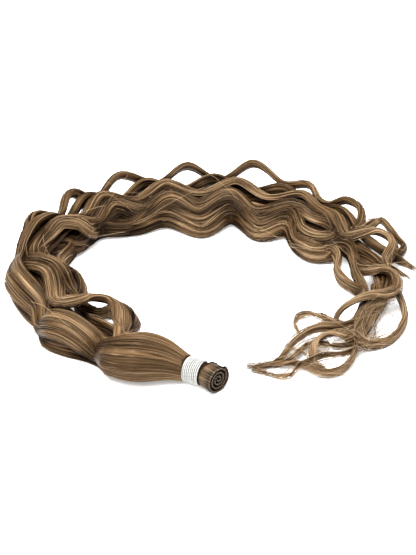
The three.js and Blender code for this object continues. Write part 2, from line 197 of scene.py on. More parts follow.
# The locks: width and thick, root: the place round the bulge where one starts, fan: where its strands lie
# on the bulge, from and to, bends: turn, out, up at each bend of the wave. A loose lock has no root.
LOCKS = {
    "outer_top": {"width": 15, "thick": 6, "root": -15, "fan": (-40, 62), "bends": [
        (27, 8, 8), (31, 9, 13), (38, 10, 16), (44, 12, 15), (50, 11, 10), (57, 7, 12), (64, 10.3, 15.5),
        (74, 13, 15), (84, 14, 11.5), (92, 14.2, 9), (98, 15.2, 13), (105, 15.6, 17), (111, 13.6, 16.5),
        (120, 11, 9.5), (131, 16.5, 14.5), (142, 11, 9), (153, 16.5, 14.5), (164, 11, 9), (176, 16.5, 14.5),
        (188, 11, 9.5), (200, 15.5, 13.5), (212, 10, 9), (224, 14, 11), (236, 9, 8), (244, 8, 9),
        (250.5, 11.5, 8), (253, 18, 5), (256.5, 23, 3.5),
    ]},
    "outer_low": {"width": 13, "thick": 6, "root": -65, "fan": (-105, -38), "bends": [
        (27, 8, 4), (33, 7, 5), (40, 10.4, 5), (47, 12, 5), (54, 6.5, 5), (62, 9.5, 5), (73, 12, 6),
        (82, 14, 6), (90, 14, 6), (99, 16, 6), (108, 17, 8), (120, 10, 6), (134, 13, 6), (148, 7, 6),
        (163, 12.5, 6), (178, 6, 6), (194, 11, 6), (210, 4, 6), (226, 8.5, 5), (242, 3, 5), (251, 5, 6),
        (257.7, 8, 6), (259.1, 12.5, 5), (260.4, 17, 3.2),
    ]},
    "heart": {"width": 13, "thick": 9, "root": 180, "fan": (185, 262), "bends": [
        (30, 5, 6), (60, 2, 5), (90, 4, 5), (120, 5, 5), (150, 3, 5), (180, 2, 5), (210, 0, 5), (235, 0, 5),
        (255, 3, 5), (275, 4, 5), (288, 4, 5), (298, 1.5, 5.5), (305, -1, 5.5),
    ]},
    "root_arch": {"width": 11, "thick": 5, "root": 65, "fan": (92, 122), "bends": [
        (24, -5, 19), (30, -14, 19), (39, -18, 18), (46, -13, 18), (47, -3, 19), (50, 2, 19), (57, -2, 20),
        (68, -4, 20), (78, 2, 17), (86, 10, 12), (95, 8, 10), (103, 4, 15), (110, 3, 18), (115, -4, 17),
        (118, -9, 12), (127, -4, 7), (139, -12, 6), (154, -5, 9), (170, -20, 6), (184, -8, 9),
        (199, -21, 6), (209, -9, 8), (221, -22, 6), (230, -22, 6), (237, -17, 6), (238, -10, 7),
        (243, -6, 8), (252, -7, 8), (262, -9, 7), (271, -6, 6), (281, -3, 6), (292, -1, 6), (300, 4, 5),
        (307, 11, 4), (313, 17, 3), (319, 20, 3), (323, 17, 3), (325, 8, 3), (329, 3, 3), (334, 0, 2),
        (339, -2, 1.5),
    ]},
    "root_loop": {"width": 11, "thick": 5, "root": 105, "fan": (112, 150), "bends": [
        (22, -10, 14), (28, -21.5, 11.5), (37, -26.5, 9), (43, -24, 7), (46, -17, 7), (52, -14, 9),
        (56, -10, 15), (64, -11, 17), (74, -10, 18), (83, -3, 17), (91, 7, 12), (99, 4, 8), (107, 0, 9),
        (111, -6, 6), (119, -5.5, 5), (129, -3, 5), (141, -13, 4.5), (156, -12, 6), (171, -27, 4.5),
        (184, -10.5, 6), (200, -25, 4.5), (210, -14, 6), (221, -23, 5), (230, -25, 5), (237, -23.5, 5),
        (240, -18, 5), (240, -13, 5), (246, -13, 5), (254, -17, 4), (263, -16, 4), (270, -11, 4),
        (277, -4, 5), (288, -2, 5), (298, -1, 5), (304, -3, 6), (308, -9, 6), (313, -12, 5), (321, -10, 4),
        (327, -5, 3), (332, -1, 2), (338, 1, 1.5),
    ]},
    "root_inner": {"width": 12, "thick": 5, "root": 150, "fan": (142, 190), "bends": [
        (22, -5, 10), (29, -9, 9), (36, -9.5, 8), (44, -11, 6), (55, -12, 6), (65, -19, 8), (75, -18.5, 10),
        (82, -14, 9), (94, -7, 6), (106, -6, 5), (118, -2, 6), (128, -3, 9), (138, 0, 12), (148, -9, 8),
        (159, -6, 13), (170, -14, 8), (183, -6, 13), (197, -16, 8), (208, -6, 11), (220, -16, 9),
        (230, -16, 9), (235, -9, 10), (231, 1, 12), (223, 8, 12), (215, 11, 10),
    ]},
    "arch": {"width": 9, "thick": 4.5, "root": 20, "fan": (52, 84), "bends": [
        (30, 5, 8), (60, 5, 10), (90, 11, 11), (104, 17, 17), (110, 19, 19), (118, 13, 14),
        (126.5, 19.3, 20.6), (134.5, 14, 14), (145.5, 21, 21.3), (157, 15, 15), (167.5, 23, 21),
        (178, 15, 15), (188, 24.5, 23), (199, 17, 16.5), (208, 17, 19.5), (213, 13, 15), (218, 12, 14),
        (222, 18, 17), (228, 18.5, 16), (233, 12, 12), (236, 5, 11), (236, 12, 12), (236, 21, 14),
        (241, 22, 12), (245, 23, 9), (247, 25, 7), (252, 17, 7), (257, 7, 6),
    ]},
    "crown": {"width": 11, "thick": 5, "root": 40, "fan": (70, 98), "bends": [
        (30, 2, 9), (60, 0, 11), (88, 6, 12), (99, 9, 13), (112, 8, 15), (124, 5, 11.5), (135, 11, 17.5),
        (147, 4.5, 12.5), (159, 10, 17.5), (171, 4, 12.5), (184, 10, 18), (196, 4.5, 12.5), (208, 9, 17),
        (216, 6, 14), (224, 4, 14), (232, -1, 13), (238, -3, 12), (240, 4, 13), (242, 12, 14),
        (246, 16, 13), (251, 15, 12), (257, 8, 9), (265, 8, 8), (272, 10, 7), (279, 15, 5), (286, 19, 4),
        (293, 20, 3), (299, 19, 3), (304, 14, 4), (305, 8, 6), (308, 1, 7), (312, -2, 7), (317, -1, 6),
        (320, 3, 5), (322, 10, 3), (321, 15, 3),
    ]},
    "crown_inner": {"width": 11, "thick": 5, "root": 85, "fan": (84, 112), "bends": [
        (30, -1, 9), (60, -3, 10), (90, 3, 11), (104, 3, 12), (117, 3, 15), (127, -2, 11), (137, 3, 15.5),
        (148, -4, 11), (159, -2, 15), (170, -9, 11), (182, -3, 15), (195, -12, 10.5), (208, -2, 14),
        (218, -2, 12), (227, 0, 12), (236, -3, 10), (246, -6, 9), (259, -8, 9), (264, -3, 10), (265, 4, 11),
        (269, 10, 11), (276, 11, 10), (281, 7, 11), (285, 1, 12), (290, -5, 11), (294, -9, 8), (299, -9, 5),
        (302, -2, 4), (306, 4, 4),
    ]},
    "thin_loop": {"width": 5.5, "thick": 3, "bends": [
        (272, 0, 8), (286, 2, 7), (296, 2.5, 6.5), (301, -2, 6), (301, -9, 5), (299, -18, 4),
        (299.5, -25, 3), (304, -28, 2), (310, -25, 2), (313, -19, 2),
    ]},
    "thin_tip": {"width": 5.5, "thick": 3, "bends": [
        (308.5, 13.5, 4.5), (313, 11.5, 4), (318, 7.5, 4), (323, 6.5, 3), (327, 7, 3), (330, 11, 2),
        (332, 12, 2), (335, 8, 1.5), (339, 1, 1.5),
    ]},
    "tail_heart": {"width": 9, "thick": 4, "bends": [
        (258, 4, 7), (266, 6, 7), (275, 5, 6.5), (285, 4.5, 6), (294, 6, 5.5), (302, 9, 5),
        (308.5, 11, 4.5),
    ]},
    "tail_inner": {"width": 7, "thick": 3, "bends": [
        (300, 6, 5), (305, 8.5, 4.5), (309, 8.5, 4.5), (312, 4, 4), (314, -2, 4), (318.5, -4, 3.5),
        (323.5, -2, 3), (329, 1, 2.5), (333.5, 0, 1.8),
    ]},
}

# Share of its width that a lock keeps at its tip, over the last bends, and in the dips of its wave.
TIP_SHARE = 0.35
TIP_BENDS = 2
DIP_SHARE = 0.78

# The locks that lie inside the bundle and have no single strands, and the middle of the bundle: out, up.
HIDDEN_LOCKS = {"heart"}
BUNDLE_MIDDLE = (2.0, 4.0)

# The hair's tone at each turn round the ring: turn, tone. Darker on the left and far side: painted shade
# where
# less light falls. Paler towards the tail: the hair's own paler ends.
TURN_TONE_AND_SHADE = [(20, -0.05), (60, -0.08), (120, -0.04), (200, 0.0), (235, 0.03), (280, 0.08), (330, 0.24)]

# Wisps of loose hairs at the tail: hairs, spread, and bends with turn, out, up.
WISPS = {
    "right": (12, 1.6, [(279, 7, 6), (292, 8, 5), (300, 13, 4), (308, 15, 3)]),
    "inner": (16, 1.5, [(303, 0, 5), (311, -4, 4), (318, -6, 3), (325, -2, 2), (335, 0, 1.5)]),
    "loop_rise": (7, 2.5, [(301, 13, 1.5), (294, 11, 1), (288, 13, 1), (283, 14, 2)]),
    "loop_floor": (7, 2.5, [(298, 9, 1.5), (296, 14, 1), (293, 17, 1), (288, 17, 2)]),
    "tip_floor": (8, 1.5, [(339, 3, 1.5), (336, 6, 1), (333, 9, 1), (330, 7, 2)]),
    "sheet_left": (20, 2.0, [
        (282, 11, 9), (285, 4, 9), (292, 1, 9), (299, 3, 8), (305, 6, 7), (308, 4, 6),
    ]),
    "sheet_right": (20, 2.2, [(285, 8, 9), (291, 4, 8), (299, 6, 8), (304, 11, 7), (304, 16, 5)]),
    "sheet_low": (16, 2.0, [(289, 4, 9), (296, 4, 9), (302, 7, 8), (306, 11, 6), (305, 15, 5)]),
    "bar": (12, 0.9, [(318, 2, 3), (316, 6, 3), (313, 11, 3), (310, 13, 4)]),
    "cross_down": (10, 1.0, [(324, -7, 3), (322, -2, 3), (322, 3, 3), (321, 7, 2)]),
    "cross_up": (8, 1.2, [(327, 1, 2), (323, -2, 3), (318, -4, 4), (312, -5, 5)]),
    "thin_loop": (8, 1.0, [
        (313, -19, 2), (309, -26, 2), (303, -29, 3), (300, -26, 4), (302, -19, 5), (304, -8, 6),
    ]),
}

# The loose hairs of the wisps.
WISP_STEPS = 28
WISP_WANDER = (0.6, 12, 45)
WISP_SCATTER = 0.4
WISP_TONES = (0.3, 1.0)

# Thin hairs that leave the locks, bends after the first and before the tip: how they start, bend and end.
FLYAWAYS = 150
FLYAWAY_STEPS = 20
FLYAWAY_AFTER = 1
FLYAWAY_BEFORE = 2
FLYAWAY_MARGIN = 5
FLYAWAY_LIFT = 2.5
FLYAWAY_STRAY = 0.35
FLYAWAY_RISE = 0.25
FLYAWAY_CURL = 0.5
FLYAWAY_SAG = 0.35
FLYAWAY_BEND = 7
FLYAWAY_REACHES = (14, 30)
FLYAWAY_HEIGHTS = (0.1, 25)
FLYAWAY_TONES = (0.75, 1.2)

# Steps for each bend of a lock, rounds of smoothing for its flat side, and samples round an oval.
DENSE = 12
FACING_SMOOTHING = 144
OVAL_SAMPLES = 721

# What a skin is swept along, its mesh, its clumps and fine strands with width, length, height and tone,
# and the least size of their noise.
SWEEP = ("lengths", "middle", "across", "facing", "half_wide", "half_thick")
SKIN_PITCH = 0.27
SKIN_STEP = 3.1
SKIN_FLOOR = 0.04
SKIN_TWIST_WANDER = (0.15, 60, 160)
SKIN_TONE = 0.6
CLUMPS = (4, 60, 0.25, 0.06)
FINE_STRANDS = (2 * SKIN_PITCH, 28, 0.1, 0.36)
FEWEST_CELLS = 3
SPARE_ROWS = 4

# How a skin is combed. contrast: strength of its clumps and fine strands, partings: distance across and
# length along, depth, and loss of tone, which is painted shade in the parting.
LOCK_COMB = {
    "contrast": 0.8,
    "partings": [(5.5, 75, 0.8, 0.32), (2.4, 45, 0.5, 0.26), (1.1, 30, 0.25, 0.22)],
}
BULGE_COMB = {
    "contrast": 0.35,
    "partings": [(2.0, 60, 0.12, 0.24), (1.1, 30, 0.1, 0.24)],
}
PARTING_HALF_WIDTH = 0.36

# The bulge's mesh, with painted shadow under the tie's edge and painted shade at its far end.
STATION_STEPS = 8
TIE_STATION = 2
COLLAR_SHADE = -0.9
BULGE_END_SHADE = -0.6
BULGE_END_STATIONS = 1.5

# A lock that barely rises from the bulge is drawn below its skin: levels before and after.
TUCK_LEVELS = (-1.0, 0.3, 0.9)
TUCKED_LEVELS = (-1.0, -0.6, 0.9)
TUCK_END_STEPS = 3

# Painted shade: hair is darker where other locks lie close, and most where they lie above it.
CROWD_REACH = 3.5
CROWD_SHADE = 0.8
CROWD_BESIDE = 0.75
CROWD_BELOW = 0.4
CROWD_FADE = 10
CROWD_COLUMNS = 5
CROWD_STEPS = 3

# Single strands on the locks: their size, how far they stray, and their tones.
THINNED = (0.7, 1.15)
STRAND_SPACING = 0.52
STRAND_ANGLES = 4096
LOWEST_SINE = -0.4
STRAND_SLIP = 0.1
STRAND_LEVELS = (-0.25, 0.25)
LIFT_WANDER = (0.3, 40, 120)
STRAY_WANDER = (0.6, 60, 180)
ROOT_SLIP = 0.3
ROOT_STRAY = 0.6
LOOSE_TURNS = (250, 320)
LOOSE_LIFT = 2
LOOSE_STRAY = 1.5
TAPER = 0.6
TAPER_FROM = 0.85
STRAND_TONE = 0.57
TONE_SPREAD = 0.46
TONE_WANDER = (0.2, 8, 30)

# The ragged tips of the strands.
FRAY_STEPS = 4
FRAY_REACH = 7
FRAY_SHARES = (0.1, 1)
FRAY_SPREAD = 0.28
FRAY_FIRST = 0.3

# The roots of the strands on the bulge: calmer than on the locks, and with the painted shade fading out.
ROOT_STEPS = 4
ROOT_CLEAR_TURN = 2
ROOT_LEVELS = (-0.15, 0.35)
ROOT_CONTRAST = 0.65
ROOT_SHADE_POWER = 3
CALM_STEPS = 24

# Share of its cell in the bake that a tube takes up, and the streaks on a skin: columns for each fibre, and
# their spread from skin to skin.
UV_WIDE = 0.94
UV_TALL = 0.98
FIBRE_COLUMNS = 2
FIBRE_SPREAD = 500

# Looks of the fibres. ramp: colours from dark to light, stretch: how fast the streaks change across and
# along a fibre, relief: strength of the fine relief, tint: colour of the gloss.
LOOKS = {
    "hair": {
        "ramp": [(0.012, 0.005, 0.0015), (0.132, 0.0735, 0.0325), (0.42, 0.292, 0.168)],
        "stretch": (1.6, 0.05, 1.0), "roughness": 0.42, "relief": 0.35, "tint": (1.0, 0.88, 0.72),
    },
    "weft_hair": {
        "ramp": [(0.004, 0.003, 0.002), (0.085, 0.052, 0.029), (0.235, 0.158, 0.09)],
        "stretch": (1.5, 0.25, 1.0), "roughness": 0.5, "relief": 0.4, "tint": (1.0, 0.86, 0.68),
    },
    "seam_thread": {
        "ramp": [(0.004, 0.003, 0.002), (0.105, 0.077, 0.053), (0.27, 0.205, 0.145)],
        "stretch": (0.8, 1.5, 1.0), "roughness": 0.6, "relief": 0.3, "tint": (1.0, 1.0, 1.0),
    },
    "white_thread": {
        "ramp": [(0.08, 0.08, 0.078), (0.42, 0.42, 0.405), (0.55, 0.55, 0.53)],
        "stretch": (0.6, 2.2, 1.0), "roughness": 0.6, "relief": 0.4, "tint": (1.0, 1.0, 1.0),
    },
}
RAMP_PLACES = (0.0, 0.5, 1.0)
STREAKS = {"Scale": 1.0, "Detail": 4.0, "Roughness": 0.6}
STREAK_STRENGTH = 0.85
RELIEF_DEPTH = 0.4
GLOSS = 0.13

# The studio: the floor and the lights, in metres and watts.
FLOOR_HALF = 6
FLOOR_LOOK = {
    "Base Color": (0.93, 0.93, 0.93, 1),
    "Roughness": 0.7,
    "Emission Color": (1.0, 0.98, 0.95, 1),
    "Emission Strength": 0.38,
}
SKY_LOOK = {"Color": (1, 1, 1, 1), "Strength": 0.27}
LIGHTS = {
    "key": {"place": (-0.35, -0.3, 1.0), "size": 1.0, "power": 27.5},
    "top": {"place": (0.25, 0.1, 1.0), "size": 1.0, "power": 15.5},
}

# The view of the photograph, 416 by 555 pixels, with its distance in metres.
VIEW_ELEVATION = 30
VIEW_DISTANCE = 0.7
VIEW_FOCAL_PIXELS = 1337
VIEW_PIXELS = 555
VIEW_CENTRE_OFFSET = 6.5
SENSOR_WIDTH = 36

# The step from the places above to those in the CAD frame, read from where the tie sits in it.
tie_low, tie_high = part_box("thread_tie")
SHIFT = (np.array(tie_low) + np.array(tie_high)) / 2 / MM - np.array(TIE)

# Up, and a direction near it that no hair runs along.
UPRIGHT = np.array([0.0, 0.0, 1.0])
NEARLY_UPRIGHT = UPRIGHT + 0.01


def unit(vectors):
    length = np.linalg.norm(vectors, axis=-1, keepdims=True)
    return vectors / np.maximum(length, 1e-9)


def square_to(vectors, tangents):
    """The part of each vector that is square to its tangent."""
    return vectors - tangents * np.sum(vectors * tangents, axis=-1, keepdims=True)


def heading(azimuth):
    angle = math.radians(azimuth)
    return np.array([math.cos(angle), math.sin(angle), 0.0])


def outward(turn):
    """The level direction out of the ring at each turn."""
    azimuth = np.radians(ROOT_AZIMUTH - np.asarray(turn, float))
    flat = np.zeros(azimuth.shape)
    return unit(np.stack([np.cos(azimuth) / RING_HALF_WIDTH, np.sin(azimuth) / RING_HALF_DEPTH, flat], -1))


def ring_point(turn, out, up):
    """A place from its turn round the ring, its distance outside it and its height."""
    azimuth = np.radians(ROOT_AZIMUTH - np.asarray(turn, float))
    x = RING_HALF_WIDTH * np.cos(azimuth)
    y = RING_Y + RING_HALF_DEPTH * np.sin(azimuth)
    z = np.broadcast_to(np.asarray(up, float), x.shape)
    return np.stack([x, y, z], -1) + outward(turn) * np.asarray(out, float)[..., None]


def wound(origin, azimuth, angle, reach, along):
    """Places about the axis of the tie or of the roll: angle in radians, distance from it and along it."""
    axis = heading(azimuth)
    sideways = np.cross(UPRIGHT, axis)
    spoke = np.cos(angle)[..., None] * sideways + np.sin(angle)[..., None] * UPRIGHT
    return np.array(origin) + np.asarray(reach)[..., None] * spoke + np.asarray(along)[..., None] * axis


def smooth_path(points, per_span):
    """A smooth curve through points, whose last two axes are the points and their coordinates."""
    first = 2 * points[..., :1, :] - points[..., 1:2, :]
    last = 2 * points[..., -1:, :] - points[..., -2:-1, :]
    padded = np.concatenate([first, points, last], axis=-2)
    a, b, c, d = (padded[..., k:padded.shape[-2] - 3 + k, None, :] for k in range(4))
    t = (np.arange(per_span) / per_span)[:, None]
    curve = 2 * b + (c - a) * t + (2 * a - 5 * b + 4 * c - d) * t ** 2 + (3 * b - a - 3 * c + d) * t ** 3
    flat = curve.reshape(*curve.shape[:-3], -1, curve.shape[-1]) / 2
    return np.concatenate([flat, points[..., -1:, :]], axis=-2)


def run_along(points):
    """Distance along each path to each of its points, whose last two axes are as in smooth_path."""
    steps = np.linalg.norm(np.diff(points, axis=-2), axis=-1)
    return np.concatenate([np.zeros((*steps.shape[:-1], 1)), np.cumsum(steps, axis=-1)], axis=-1)


def columns_at(places, known, values):
    """Each column of values read at places."""
    return np.stack([np.interp(places, known, values[:, k]) for k in range(values.shape[1])], -1)


def smooth_share(share):
    """A share from 0 to 1 with a soft start and end."""
    return share * share * (3 - 2 * share)


def wander(random, rows, lengths, amount, shortest, longest):
    """A smooth wander for each row, by about an amount to either side."""
    total = np.zeros((rows, len(lengths)))
    for weight in WANDER_SHARES:
        wave = random.uniform(shortest, longest, (rows, 1))
        start = random.uniform(0, 2 * math.pi, (rows, 1))
        total += weight * np.sin(2 * math.pi * lengths[None] / wave + start)
    return amount * total


def swells(heights):
    """A lock is full at its crests and narrower where it dips between them."""
    padded = np.pad(heights, 1, mode="edge")
    near = np.stack([padded[:-2], padded[1:-1], padded[2:]])
    low = near.min(axis=0)
    high = near.max(axis=0)
    rise = np.where(high > low, (heights - low) / np.maximum(high - low, 1e-6), 1.0)
    return DIP_SHARE + (1 - DIP_SHARE) * rise


def root_bends(lock):
    """Bends of a rooted lock below the skin of the bulge, before those in its table."""
    if "root" not in lock:
        return []
    angle = math.radians(lock["root"])
    bends = []
    for turn, out, up, radius in BULGE[LOCKS_FROM_ROW:LOCKS_TO_ROW + 1]:
        reach = radius - LOCK_DEPTH
        bends.append((turn, out + reach * math.cos(angle), up + reach * math.sin(angle)))
    return bends


class LockLine:
    """The middle line of a lock, with the directions and the size of its flat section."""

    def __init__(self, lock):
        rows = root_bends(lock) + lock["bends"]
        self.first_bend = len(rows) - len(lock["bends"])
        table = np.array(rows, float)
        known = np.arange(len(rows))
        self.last = len(rows) - 1
        self.places = np.arange(self.last * DENSE + 1) / DENSE
        self.turn = np.interp(self.places, known, table[:, 0])
        self.middle = smooth_path(ring_point(*table.T), DENSE)
        self.lengths = run_along(self.middle)
        self.tangent = unit(np.gradient(self.middle, axis=0))
        self.facing = self.outer_side()
        self.across = np.cross(self.tangent, self.facing)
        tip = smooth_share(np.clip((self.places - (self.last - TIP_BENDS)) / TIP_BENDS, 0, 1))
        swell = np.interp(self.places, known, swells(table[:, 2]))
        share = np.interp(self.turn, *np.array(GIRTH).T) * swell * (1 + (TIP_SHARE - 1) * tip)
        self.half_wide = lock["width"] / 2 * share
        self.half_thick = lock["thick"] / 2 * share

    def outer_side(self):
        """The way that the flat side faces, away from the middle of the bundle."""
        out, up = BUNDLE_MIDDLE
        facing = self.middle - ring_point(self.turn, np.full(len(self.turn), out), up)
        facing = square_to(facing, self.tangent)
        for _ in range(FACING_SMOOTHING):
            facing[1:-1] = (facing[:-2] + 2 * facing[1:-1] + facing[2:]) / 4
        return unit(square_to(facing, self.tangent))

    def evenly(self, step, first=0.0):
        """Places a step apart, from a first place to the tip."""
        start = np.interp(first, self.places, self.lengths)
        count = int((self.lengths[-1] - start) / step) + 2
        return np.interp(np.linspace(start, self.lengths[-1], count), self.lengths, self.places)

    def at(self, places, name):
        """One of the line's values, read at places."""
        values = getattr(self, name)
        if values.ndim == 1:
            return np.interp(places, self.places, values)
        flat = columns_at(np.ravel(places), self.places, values)
        return flat.reshape(*np.shape(places), 3)


def mesh_object(name, vertices, faces_by_size, uvs, attributes, material):
    """A mesh from arrays: vertices, faces as arrays of corners, uvs for each corner in that order."""
    mesh = bpy.data.meshes.new(name)
    loops = np.concatenate([faces.reshape(-1) for faces in faces_by_size])
    sizes = np.concatenate([np.full(len(faces), faces.shape[1]) for faces in faces_by_size])
    starts = np.concatenate([[0], np.cumsum(sizes)[:-1]])
    vertices = np.maximum(vertices, (-np.inf, -np.inf, FLOOR_CLEARANCE))
    mesh.vertices.add(len(vertices))
    mesh.vertices.foreach_set("co", ((vertices + SHIFT) * MM).astype(np.float32).ravel())
    mesh.loops.add(len(loops))
    mesh.loops.foreach_set("vertex_index", loops.astype(np.int32))
    mesh.polygons.add(len(sizes))
    mesh.polygons.foreach_set("loop_start", starts.astype(np.int32))
    mesh.polygons.foreach_set("use_smooth", np.ones(len(sizes), bool))
    layer = mesh.uv_layers.new(name="OFBake")
    layer.data.foreach_set("uv", uvs.astype(np.float32).ravel())
    for key, values in attributes.items():
        vector = values.ndim > 1
        attribute = mesh.attributes.new(key, "FLOAT_VECTOR" if vector else "FLOAT", "POINT")
        attribute.data.foreach_set("vector" if vector else "value", values.astype(np.float32).ravel())
    mesh.update()
    mesh.validate()
    mesh.materials.append(material)
    piece = bpy.data.objects.new(name, mesh)
    bpy.context.scene.collection.objects.link(piece)
    return piece


def tubes(rings, tones, fibres):
    """Closed tubes from their rings (tubes, steps, sides, 3), as the parts of a mesh_object."""
    shape = rings.shape[:3]
    count, steps, sides = shape
    index = np.arange(count * steps * sides).reshape(shape)
    turned = np.roll(index, -1, axis=2)
    quads = np.stack([index[:, :-1], turned[:, :-1], turned[:, 1:], index[:, 1:]], -1).reshape(-1, 4)
    caps = np.concatenate([index[:, 0, ::-1], index[:, -1]])
    left = np.arange(count)[:, None, None] + np.arange(sides) / sides * UV_WIDE + (1 - UV_WIDE) / 2
    left = left / count
    right = left + UV_WIDE / sides / count
    low = (np.arange(steps - 1) / (steps - 1) * UV_TALL + (1 - UV_TALL) / 2)[None, :, None]
    high = low + UV_TALL / (steps - 1)
    left, right, low, high = np.broadcast_arrays(left, right, low, high)
    quad_uvs = np.stack([left, low, right, low, right, high, left, high], -1).reshape(-1, 2)
    uvs = np.concatenate([quad_uvs, np.zeros((caps.size, 2))])
    lengths = run_along(rings.mean(axis=2))[..., None]
    fibre = np.stack([np.broadcast_to(values, shape) for values in (fibres, lengths, 0.0)], -1)
    attributes = {"tone": np.broadcast_to(tones, shape).reshape(-1), "fibre": fibre.reshape(-1, 3)}
    return rings.reshape(-1, 3), [quads, caps], uvs, attributes


def round_rings(paths, references, radii, sides):
    """Round rings about paths (tubes, steps, 3)."""
    tangents = unit(np.gradient(paths, axis=1))
    normals = unit(square_to(references, tangents))
    sideways = np.cross(tangents, normals)
    angles = 2 * np.pi * np.arange(sides) / sides
    spokes = normals[:, :, None] * np.cos(angles)[:, None] + sideways[:, :, None] * np.sin(angles)[:, None]
    return paths[:, :, None] + spokes * radii[:, :, None, None]


def tube_piece(name, material, tube, paths, references, tones, thinned=1.0):
    """A piece of round tubes along paths (tubes, steps, 3), with tones for each tube or for each step."""
    count = len(paths)
    sides = tube["sides"]
    radii = np.broadcast_to(tube["radius"] * thinned, paths.shape[:2])
    rings = round_rings(paths, np.broadcast_to(references, paths.shape), radii, sides)
    each_tube, each_side = tube["fibres"]
    fibres = (np.arange(count) * each_tube)[:, None, None] + np.arange(sides) * each_side
    return mesh_object(name, *tubes(rings, np.reshape(tones, (count, -1, 1)), fibres), material)


def drawn_noise(random, columns, lengths, across, along):
    """Noise between -1 and 1 over a skin (steps, columns), with cells of columns across and mm along."""
    cells = max(FEWEST_CELLS, round(columns / across))
    grid = random.uniform(-1, 1, (int(lengths[-1] / along) + SPARE_ROWS, cells))
    row = lengths[:, None] / along + random.uniform(0, 1, cells)
    low_row = row.astype(int)
    cell = np.arange(cells)
    before = grid[low_row, cell]
    drawn = before + (grid[low_row + 1, cell] - before) * smooth_share(row - low_row)
    column = np.arange(columns) / columns * cells
    low_column = column.astype(int)
    left = drawn[:, low_column]
    right = drawn[:, (low_column + 1) % cells]
    return left + (right - left) * smooth_share(column - low_column)


def combed(random, columns, lengths, comb):
    """Heights and tones of a combed surface (steps, columns): clumps, fine strands, and partings in painted
    shade.
    """
    heights = 0
    tones = SKIN_TONE
    for across, along, height, tone in (CLUMPS, FINE_STRANDS):
        noise = comb["contrast"] * drawn_noise(random, columns, lengths, across / SKIN_PITCH, along)
        heights = heights + height * noise
        tones = tones + tone * noise
    for across, along, depth, shade in comb["partings"]:
        noise = drawn_noise(random, columns, lengths, across / SKIN_PITCH, along)
        parting = np.exp(-(noise * across / PARTING_HALF_WIDTH) ** 2)
        heights = heights - depth * parting
        # Painted shade in the partings.
        tones = tones - shade * parting
    return heights, tones


def oval_run(half_wide, half_thick):
    """Angles round an oval in radians, and the distance along its edge to each of them."""
    angles = np.linspace(0, 2 * math.pi, OVAL_SAMPLES)
    return angles, run_along(np.stack([half_wide * np.cos(angles), half_thick * np.sin(angles)], -1))


def even_angles(half_wide, half_thick, count):
    """Angles round an oval that are evenly spaced along its edge."""
    angles, run = oval_run(half_wide, half_thick)
    return np.interp(np.arange(count) / count * run[-1], run, angles)


# The hair's tone at a turn: painted shade on the left and far side, and the hair's own paler tail.
def turn_tone_and_shade(turn):
    return np.interp(turn, *np.array(TURN_TONE_AND_SHADE).T)


# How closely the locks lie, for the painted shade between them.
def crowding(points, own, lines):
    """How closely the other locks lie about points of one lock, from 0 to 1."""
    crowd = np.zeros(points.shape[:-1])
    for name, line in lines.items():
        if name == own:
            continue
        places = line.evenly(CROWD_REACH, line.first_bend)
        away = points[..., None, :] - line.at(places, "middle")
        level = 0
        for way, half in (("across", "half_wide"), ("facing", "half_thick"), ("tangent", "half_thick")):
            distance = np.einsum("...k,...k", away, line.at(places, way))
            level = level + (distance / line.at(places, half)) ** 2
        gap = (np.sqrt(level) - 1) * line.at(places, "half_thick")
        above = np.clip(CROWD_BESIDE - away[..., 2] / CROWD_FADE, CROWD_BELOW, 1)
        near = np.clip(1 - gap / CROWD_REACH, 0, 1) * above
        crowd = np.maximum(crowd, near.max(-1))
    return crowd


def fluted_piece(name, random, material, sweep, comb, finish):
    """A combed skin along a sweep. finish gives its rings back, with what to add to their tones."""
    lengths, middle, across, facing, half_wide, half_thick = (sweep[key] for key in SWEEP)
    full_wide = half_wide.max()
    full_thick = half_thick.max()
    columns = int(oval_run(full_wide, full_thick)[1][-1] / SKIN_PITCH)
    angles = even_angles(full_wide, full_thick, columns)
    angles = angles + wander(random, 1, lengths, *SKIN_TWIST_WANDER).T
    heights, tones = combed(random, columns, lengths, comb)
    cosine = np.cos(angles)[..., None]
    sine = np.sin(angles)[..., None]
    wide = -across[:, None]
    thick = facing[:, None]
    half_wide = half_wide[:, None, None]
    half_thick = half_thick[:, None, None]
    normal = unit(wide * (cosine / half_wide) + thick * (sine / half_thick))
    lift = heights[..., None] * (half_thick / full_thick)
    rings = middle[:, None] + wide * (half_wide * cosine) + thick * (half_thick * sine) + normal * lift
    rings[..., 2] = np.maximum(rings[..., 2], SKIN_FLOOR)
    rings, shade = finish(rings)
    fibres = np.arange(columns) / FIBRE_COLUMNS + random.uniform(0, FIBRE_SPREAD)
    return mesh_object(name, *tubes(rings[None], tones + shade, fibres), material)


def root_stations():
    """Round sections from the back of the roll over the bulge: middles, outward directions, radii."""
    tie_along = heading(TIE_AZIMUTH)
    roll_along = heading(ROLL_AZIMUTH)
    half_tie = THREAD_WRAPS * THREAD_DIAMETER / 2 + GAP
    tie_out = np.cross(tie_along, UPRIGHT)
    roll_out = np.cross(roll_along, UPRIGHT)
    stations = [(np.array(ROLL) - roll_along * (ROLL_LENGTH - NECK_INSET), roll_out, COLLAR_RADIUS)]
    for step, radius in (
        (half_tie, NECK_RADIUS),
        (-half_tie, NECK_RADIUS),
        (-half_tie - COLLAR_STEP, COLLAR_RADIUS),
    ):
        stations.append((np.array(TIE) + tie_along * step, tie_out, radius))
    for turn, out, up, radius in BULGE:
        stations.append((ring_point(turn, out, up), outward(turn), radius))
    return [np.array(values) for values in zip(*stations)]


STATIONS = root_stations()


def bulge_line():
    """The middle line of the neck and the bulge, with its outward directions and radii."""
    middles, outs, radii = STATIONS
    middles = smooth_path(middles, STATION_STEPS)
    known = np.arange(len(radii)) * STATION_STEPS
    places = np.arange(len(middles))
    return middles, unit(columns_at(places, known, outs)), np.interp(places, known, radii)


BULGE_MIDDLES, BULGE_OUTS, BULGE_RADII = bulge_line()


